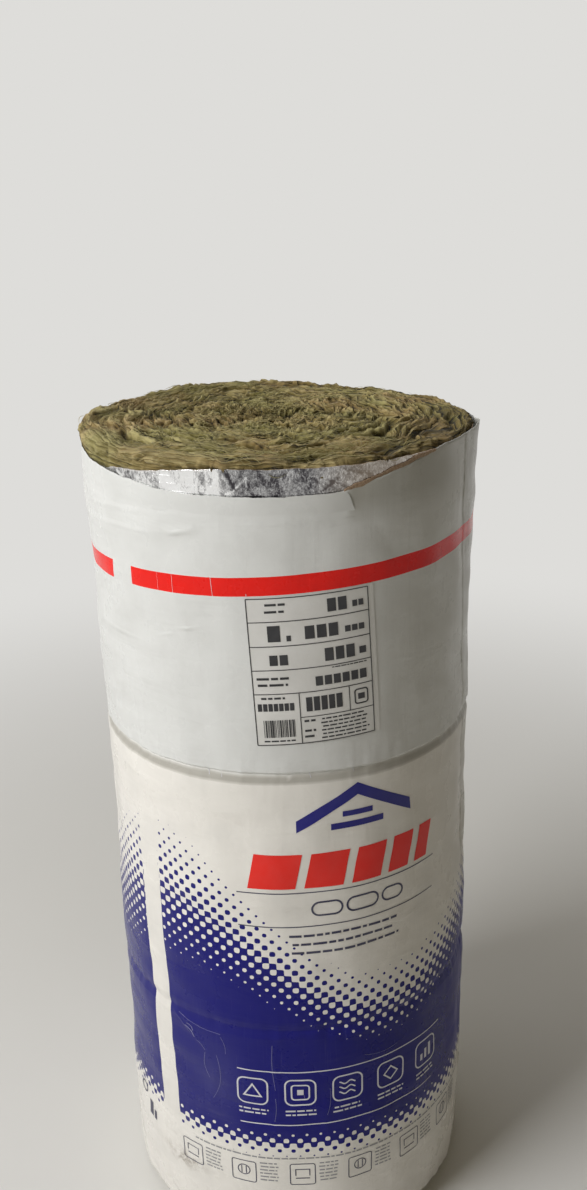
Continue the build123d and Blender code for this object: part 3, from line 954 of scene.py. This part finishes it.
def foil_crumple(turn, height):
    """Sharp-edged dents of the foil, -1 to 1."""
    broad = relief(turn, height, 52, 0.12, 0.12, 4, True)
    fine = relief(turn, height, 53, 0.045, 0.060, 6, True)
    return 0.6 * broad + 0.4 * fine


def foil_lines(turn, height):
    """Painted shade of the listed creases, and painted highlight where negative: the bright ones stand up as
    ridges.
    """
    return sum(tone * near_line(turn, height, points, width) for points, tone, width in foil_creases)


def foil_wall(height):
    """Radius of the foil, which is crumpled where the film leaves it free."""
    base = np.minimum(facing_radius, film_skin(foil_turns, height) - 0.0011)
    free = ramp(height, film_edge(foil_turns) - 0.002, 0.008)
    lines = foil_lines(foil_turns, height)
    return base + (0.0008 * foil_crumple(foil_turns, height) + 0.0004 - 0.0006 * lines) * free


# Rows of radius and height: up the foil's face, over its edge, and down the kraft behind it
top_edge = foil_top(foil_turns)
low_edge = np.minimum(film_edge(foil_turns) - 0.012, top_edge - 0.006)
rows = [(np.minimum(facing_radius, film_skin(foil_turns, level)) - 0.0024, level)
        for level in (0.7085, 0.73, 0.80, 0.86, 0.92, 0.96, 0.98)]
hidden_rows = rows[::-1]
for share in np.linspace(0, 1, 26):
    height = low_edge + share * (top_edge - low_edge)
    rows.append((foil_wall(height), height))
rows.append((foil_wall(top_edge + 0.0002), top_edge + 0.0002))
face_rows = len(rows)
for share in np.linspace(1, 0, 13):
    height = low_edge + share * (top_edge - low_edge)
    rows.append((foil_wall(height) - foil_sheet, height + 0.0003))
rows += [(reach - foil_sheet, level) for reach, level in hidden_rows]
rows.append(rows[0])
foil_reach, foil_level = stacked(rows, foil_turns)

# Its tone, painted reflection and shade: darker by stretches, by the tilt of its dents and by its creases,
# and a painted glint on its edge
dents = foil_crumple(foil_turns, foil_level)
tilt_round = np.gradient(dents, foil_turns, axis=1) * 0.055
tilt_up = np.gradient(dents, axis=0) / (np.abs(np.gradient(foil_level, axis=0)) / 0.0016 + 0.1) / 0.16
darker_reflection = np.interp(around, reflection_angles, reflection_tones)
lively = 1 - 0.65 * ramp(darker_reflection, 0.30, 0.25)
glint = hill(foil_level, top_edge, 0.0013) * np.clip(relief(foil_turns, 0, 54, 0.02, 1.0) + 0.6, 0, 1)
glint = glint * ramp(around, -62, 6) * ramp(around, -12, -8)
painted_reflection = darker_reflection + lively * (0.16 * tilt_round + 0.15 * tilt_up)
painted_reflection = painted_reflection + foil_lines(foil_turns, foil_level) - 0.6 * glint
foil_marks = {
    "painted_reflection": np.clip(painted_reflection, -0.4, 1.1),
    # Browner where kraft shows through on the right, and cream on the painted glint
    "kraft": 0.5 * ramp(around, 8, 14) * ramp(around, 90, -20) + 0.35 * glint,
}
foil_points = on_circle(foil_turns, foil_reach, foil_level)
foil_mesh = band("foil_top", foil_points, foil_marks, foil_turns, foil_level)
paper = np.repeat(np.arange(len(rows) - 1) >= face_rows - 1, len(foil_turns))
foil_mesh.polygons.foreach_set("material_index", paper.astype(np.int32))
shown("foil_top", foil_mesh, [foil_finish, kraft_finish], "foil", "facing_top")


# Kraft strip that shows between foil and film on the right

strip_turns = np.linspace(radians(16.5), radians(47), 60)
strip_shares = (0.35, 0.75, 1.0, 0.95, 0.6, 0.05)
strip_width = 0.0052 * np.interp(np.degrees(strip_turns), (16.5, 20, 25, 34, 41, 47), strip_shares)
strip_width = strip_width * (1 + 0.15 * relief(strip_turns, 0, 62, 0.06, 1.0))
tucked = 0.004
strip_rows = []
for share in np.linspace(0, 1, 6):
    height = film_edge(strip_turns) - tucked + share * (strip_width + tucked)
    out = -0.0012 + 0.0016 * share + 0.0002 * relief(strip_turns, height, 61, 0.05, 0.05) * share
    strip_rows.append(on_circle(strip_turns, film_skin(strip_turns, height) + out, height))
kraft_mesh = band("kraft_strip", np.array(strip_rows), closed=False)
kraft_strip = shown("kraft_strip", kraft_mesh, [kraft_finish], "foil")
kraft_strip.modifiers.new("paper_thickness", "SOLIDIFY").thickness = 0.0004


# Marks, drawn flat in mm round and up, and then laid on the film

def block(low_x, high_x, low_y, high_y, slant=0.0):
    return [[(low_x, low_y), (high_x, low_y), (high_x + slant, high_y), (low_x + slant, high_y)]]


def line(points, width):
    """Quads along a line, which meet in mitred corners."""
    points = [np.array(point, float) for point in points]
    closed = np.allclose(points[0], points[-1])
    sides = []
    for place, point in enumerate(points):
        before = points[place - 1] if place else (points[-2] if closed else point)
        after = points[place + 1] if place + 1 < len(points) else (points[1] if closed else point)
        runs = (point - before, after - point)
        ways = [run / np.linalg.norm(run) for run in runs if np.linalg.norm(run) > 1e-9]
        middle = sum(ways) / np.linalg.norm(sum(ways))
        normal = np.array([-middle[1], middle[0]])
        size = width / 2 / max(abs(float(np.dot(middle, ways[0]))), 0.5)
        sides.append((point - normal * size, point + normal * size))
    return [[tuple(a), tuple(c), tuple(d), tuple(b)] for (a, b), (c, d) in zip(sides, sides[1:])]


def corners_of(middle_x, middle_y, width, height, corner, bends):
    """Points round a rounded rectangle."""
    points = []
    for quarter, (side_x, side_y) in enumerate(((1, 1), (-1, 1), (-1, -1), (1, -1))):
        for bend in np.linspace(0, pi / 2, bends):
            points.append((middle_x + side_x * (width / 2 - corner) + corner * cos(quarter * pi / 2 + bend),
                           middle_y + side_y * (height / 2 - corner) + corner * sin(quarter * pi / 2 + bend)))
    return points


def rounded(middle_x, middle_y, width, height, corner, thickness):
    """The outline of a rounded rectangle, drawn with a line."""
    points = corners_of(middle_x, middle_y, width, height, corner, 6)
    return line([*points, points[0]], thickness)


def lines_of_words(low_x, high_x, tops, size, seed):
    """Rows of plain bars of word length, where small print stands."""
    dice = np.random.default_rng(seed)
    shapes = []
    for top in tops:
        x = low_x + dice.uniform(0, 0.06) * (high_x - low_x)
        stop = high_x - dice.uniform(0, 0.12) * (high_x - low_x)
        while x < stop:
            word = min(dice.uniform(1.5, 5.5) * size, stop - x)
            shapes += block(x, x + word, top - size, top)
            x += word + 0.8 * size
    return shapes


def bowed(start, end, bow, width):
    """A thin line from start to end that bows aside."""
    run, climb = end[0] - start[0], end[1] - start[1]
    return line([(start[0] + part * run - bow * sin(pi * part) * climb,
                  start[1] + part * climb + bow * sin(pi * part) * run)
                 for part in np.linspace(0, 1, 12)], width)


def as_drawn(x, y):
    return x, y


def on_label(x, y):
    """Where a point that is drawn from the middle of the label lies on the film."""
    return (label_middle[0] + x * cos(label_turn) - y * sin(label_turn),
            label_middle[1] + x * sin(label_turn) + y * cos(label_turn))


def laid(name, drawn, place, lift, materials, slot, repeats=(0.0,), cell=5.0):
    """Lays flat shapes on the film, cut into cells so that they bend with it, and lifted off it."""
    bm = bmesh.new()
    for shapes, material in drawn:
        for shape in shapes:
            area = sum(a[0] * b[1] - b[0] * a[1] for a, b in zip(shape, shape[1:] + shape[:1]))
            corners = [bm.verts.new((x, y, 0)) for x, y in (shape if area > 0 else shape[::-1])]
            bm.faces.new(corners).material_index = material
    for axis, normal in enumerate((Vector((1, 0, 0)), Vector((0, 1, 0)))):
        spots = [vert.co[axis] for vert in bm.verts]
        for cut in np.arange(min(spots) + cell, max(spots), cell):
            bmesh.ops.bisect_plane(bm, geom=bm.verts[:] + bm.edges[:] + bm.faces[:],
                                   plane_co=normal * cut, plane_no=normal)
    bm.verts.index_update()
    spots = np.array([vert.co[:2] for vert in bm.verts])
    faces = [[vert.index for vert in face.verts] for face in bm.faces]
    fills = [face.material_index for face in bm.faces]
    bm.free()
    arc, level = place(spots[:, 0], spots[:, 1])
    height = lift(arc, level) if callable(lift) else lift
    points, corners = [], []
    for number, offset in enumerate(repeats):
        turn = ((arc + offset) / 1000 / film_radius + pi) % (2 * pi) - pi
        points.append(on_circle(turn, film_skin(turn, level / 1000) + height, level / 1000))
        corners += [[corner + number * len(spots) for corner in face] for face in faces]
    mesh = bpy.data.meshes.new(name)
    mesh.from_pydata(np.concatenate(points).tolist(), [], corners)
    mesh.polygons.foreach_set("material_index", np.array(fills * len(repeats), np.int32))
    mesh.shade_smooth()
    return shown(name, mesh, materials, slot)


# Print of the film: a roof, slanted blocks, pills, lines of words, and two rows of signs
film_print = [
    ([[(6, 628), (78.5, 669), (78.5, 684), (6, 643)],
      [(78.5, 669), (151, 628), (151, 643), (78.5, 684)]], blue),
    (block(46, 111, 628, 636) + block(60, 97, 643, 650), blue),
    (lines_of_words(-8, 140, (491, 479, 467), 3.2, 71), dark),
    (lines_of_words(-168, 300, (155,), 2.2, 72), grey),
]
for low_x, high_x, level, width, ink in ((-66, 193, 548, 1.3, dark), (-66, 193, 502, 1.3, dark),
                                         (-77, 211, 290, 1.6, white), (-75, 196, 209, 1.6, white)):
    film_print.append((line([(low_x, level), (high_x, level)], width), ink))
for middle, width in ((40, 36), (84, 40), (124, 28)):
    film_print.append((rounded(middle, 525, width, 18, 8.9, 2.4), dark))
start = -53.0
for width in (56, 46, 37, 29, 21):
    film_print.append((block(start, start + width, 554, 600, 9), red))
    start += width + 10.5
# Drawn about their middles: a triangle, a square in a square, waves, a rhombus and rising bars
small_signs = (
    line([(-11, -7), (0, 10), (11, -7), (-11, -7)], 2.1),
    rounded(0, 0, 22, 22, 4, 2.0) + block(-4, 4, -4, 4),
    sum([line([(x, level + 2.0 * sin(x / 2.4)) for x in np.arange(-11, 11.5, 1.5)], 1.9)
         for level in (-8, 0, 8)], []),
    line([(-10, 0), (0, 10), (10, 0), (0, -10), (-10, 0)], 2.0),
    block(-10.2, -5.8, -10, 0) + block(-2.2, 2.2, -10, 5) + block(5.8, 10.2, -10, 10),
)
for number, (middle, sign) in enumerate(zip((-58, 2, 62, 122, 182), small_signs)):
    sign = [[(middle + x, 259 + y) for x, y in shape] for shape in sign]
    words = lines_of_words(middle - 20, middle + 20, (232, 226), 2.4, 80 + number)
    film_print.append((rounded(middle, 259, 38, 38, 9, 2.1) + sign + words, white))
for number, middle in enumerate((-150, -74, 2, 78, 154, 230)):
    left, right = middle - 9, middle + 9
    sign = line([(left, 122), (right, 122)], 1.4)
    sign += line([(left, 126), (left, 136), (right, 136), (right, 126)], 1.2)
    if number % 2:
        sign = line([(middle + 8 * cos(a), 130 + 8 * sin(a)) for a in np.linspace(0, 2 * pi, 17)], 1.3)
        for x in (middle - 3, middle + 3):
            sign += line([(x, 124), (x, 136)], 1.2)
    film_print.append((rounded(middle, 128, 32, 33, 3, 1.2) + sign, dark))
    words = lines_of_words(middle + 21, middle + 46, np.arange(146, 118, -5.5), 2.0, 90 + number)
    film_print.append((words, grey))
ring_and_bars = rounded(-262, 160, 16, 16, 7.9, 2.6)
ring_and_bars += block(-246, -236, 128, 150) + block(-232, -226, 128, 142)
film_print.append((ring_and_bars, dark))
laid("film_print", film_print, as_drawn, print_lift, inks, "film", (0.0, panel_width * 1000))


# The outer layer of film ends in a rounded tab right of the middle

def lap_lift(arc, level):
    """The outer layer comes out of the film and stands off most at its upper edge."""
    return -0.0003 + 0.0013 * ramp(level, 1000, 13) * ramp(arc, -160, 60)


lap = [(-170, 976), (94, 976), (86, 990), (79, 1001), (76, 1008), (74.0, 1014), (72.4, 1019), (69.5, 1022.6)]
for arc in np.arange(64.0, -170, -4):
    lap.append((arc, 1000 * float(film_edge(arc / 1000 / film_radius)) + 0.4))
laid("film_lap", [([lap], 0)], as_drawn, lap_lift, [film_finish], "film", cell=6.0)


# Scuffs of the front, once only: from, to, how far they bow for their length, and width in mm

scuff_lines = (
    ((-150, 330), (-136, 317), 0.14, 1.3), ((-133, 314), (-121, 303), 0.10, 0.6),
    ((-121, 300), (-116, 262), -0.10, 0.5), ((-105, 300), (-112, 232), 0.12, 0.45),
    ((-147, 334), (-138, 326), 0.2, 0.9), ((-98, 330), (-92, 306), 0.1, 0.4),
    ((-31, 330), (-29, 262), -0.03, 0.45), ((-29, 250), (-31, 214), 0.04, 0.4),
    ((39, 262), (35, 222), 0.06, 0.4), ((2, 262), (7, 250), 0.1, 0.4),
    ((-160, 345), (-98, 334), -0.05, 0.5), ((84, 302), (132, 300), -0.07, 0.4),
)
# Straight nicks in the stripe and at the groove: from, to and width in mm
nick_lines = (
    ((-125.5, 910.8), (-126.5, 931.4), 0.32), ((-77, 912.6), (-78.5, 933.4), 0.45),
    ((-146, 910), (-146.5, 930.6), 0.18), ((-40, 914.5), (-40, 917), 0.6),
    ((-94.6, 702.5), (-93.4, 695.5), 0.9), ((22.8, 703.5), (24.6, 696), 0.8),
    ((72.6, 705), (75.0, 697.5), 0.8), ((-78.5, 699), (-77.8, 695), 0.6),
)
scuffs = [(bowed(*scuff), scuffed) for scuff in scuff_lines]
scuffs += [(line([start, end], width), white) for start, end, width in nick_lines]
laid("film_scuffs", scuffs, as_drawn, scuff_lift, inks, "film")


# Label: the sheet is 6 mm wider on the right than the source's, for the blank border there

sheet = []
for x, y in corners_of(0, 0, *label_size, 2, 5):
    sheet.append((x + 6.0 * (x > 0), y + 1.8 * (x > 0) * (y > 0)))
label = laid("label_sheet", [([sheet], 0)], on_label, label_lift, [sticker_finish], "label")
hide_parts("data_label")
print_lines = rounded(0, 0, 133, 172, 0.6, 1.1)
for start, end, width in (((-66.5, 59.4), (66.5, 59.4), 1.0), ((-66.5, 31.2), (66.5, 31.2), 1.0),
                          ((-66.5, 3.5), (66.5, 3.5), 1.0), ((-66.5, -24.7), (66.5, -24.7), 1.0),
                          ((-17.1, -24.7), (-17.1, -86), 1.0), ((38.7, -24.7), (38.7, -54.4), 1.0),
                          ((-17.1, -54.4), (66.5, -54.4), 0.9)):
    print_lines += line([start, end], width)
# Plain blocks where figures stand: the field in mm, and how many blocks fill it
for low_x, high_x, low_y, high_y, count in (
        (20, 44, 65, 80, 2), (48, 62, 66.5, 73.5, 2), (-46, -29, 36.5, 55, 1), (-26, -20, 36.5, 43, 1),
        (-6, 33, 37, 52, 3), (38, 62, 39, 46, 3), (-46, -24, 9, 21, 2), (14, 50, 9, 24, 3),
        (53, 63, 11, 19, 1), (2, 62, -18.5, -7.5, 6), (-63, -22, -45, -36, 7), (-10, 32, -48, -31, 5)):
    step = (high_x - low_x) / count
    for number in range(count):
        print_lines += block(low_x + number * step, low_x + (number + 0.8) * step, low_y, high_y)
for words in ((-48, -24, (80, 72), 2.6, 101), (-62, -24, (-5, -12.5), 2.8, 102), (20, 62, (1.4,), 1.2, 103),
              (-60, -30, (-28.5,), 2.4, 104), (4, 62, np.arange(-58, -84, -4.6), 1.7, 105),
              (-14, -1, (-58, -70, -77), 2.6, 106), (-60, -22, (-80.5,), 1.8, 107)):
    print_lines += lines_of_words(*words)
# Upright bars of chance widths
dice = np.random.default_rng(108)
x = -58.0
while x < -24:
    bar = dice.choice((0.6, 1.0, 1.6))
    print_lines += block(x, x + bar, -77, -56)
    x += bar + dice.choice((0.6, 0.9, 1.3))
print_lines += rounded(52.5, -39.5, 15, 17, 3, 1.6) + block(48.5, 56.5, -43, -36)
laid("label_print", [(print_lines, 0)], on_label, label_print_lift, [label_ink], "label")


# Floor, light and camera

bpy.ops.mesh.primitive_plane_add(size=60, location=(0, 0, 0))
floor = bpy.context.object
floor.name = "studio_floor"
floor.data.materials.append(floor_material())

for name, place, size, power, colour in (
        ("key", (-2.7, -1.75, 2.5), 1.7, 121.0, "#FEFEFF"),
        ("fill", (1.8, -2.8, 1.4), 2.6, 1.3, "#FFF2DC"),
        ("top", (-0.6, 0.5, 3.2), 2.0, 26.5, "#FFFFFF")):
    lamp = bpy.data.lights.new(name, "AREA")
    lamp.size = size
    lamp.energy = power
    lamp.color = linear(colour)[:3]
    stand = bpy.data.objects.new(name, lamp)
    stand.location = place
    stand.rotation_euler = (Vector((0, 0, 0.6)) - Vector(place)).to_track_quat("-Z", "Y").to_euler()
    bpy.context.scene.collection.objects.link(stand)

world = bpy.data.worlds.new("studio")
bpy.context.scene.world = world
world.use_nodes = True
world.node_tree.nodes.clear()
world_node = partial(add, world.node_tree)
ambient = world_node("ShaderNodeBackground", (linear("#EBD8AE"), 0.108))
backdrop = world_node("ShaderNodeBackground", (linear("#DEDDDA"), 1.0))
both = world_node("ShaderNodeMixShader", (backdrop_rays(world_node), ambient, backdrop))
world_node("ShaderNodeOutputWorld", (both,))

# The camera that was fitted to the photo's level lines and outline
yaw, pitch, roll = radians(0.50), radians(-19.95), radians(-1.57)
ahead = Vector((sin(yaw) * cos(pitch), cos(yaw) * cos(pitch), sin(pitch)))
level_side = Vector((cos(yaw), -sin(yaw), 0))
upright = level_side.cross(ahead)
side = cos(roll) * level_side + sin(roll) * upright
up = cos(roll) * upright - sin(roll) * level_side
camera = bpy.data.objects.new("camera", bpy.data.cameras.new("camera"))
camera.data.lens = 36.0 * 1200 / 1190      # 1200 pixels of a frame 1190 high
facing = Matrix((side, up, -ahead)).transposed().to_4x4()
camera.matrix_world = Matrix.Translation((0, -1.420, 1.347)) @ facing
bpy.context.scene.collection.objects.link(camera)
bpy.context.scene.camera = camera
bpy.context.scene.view_settings.view_transform = "Standard"
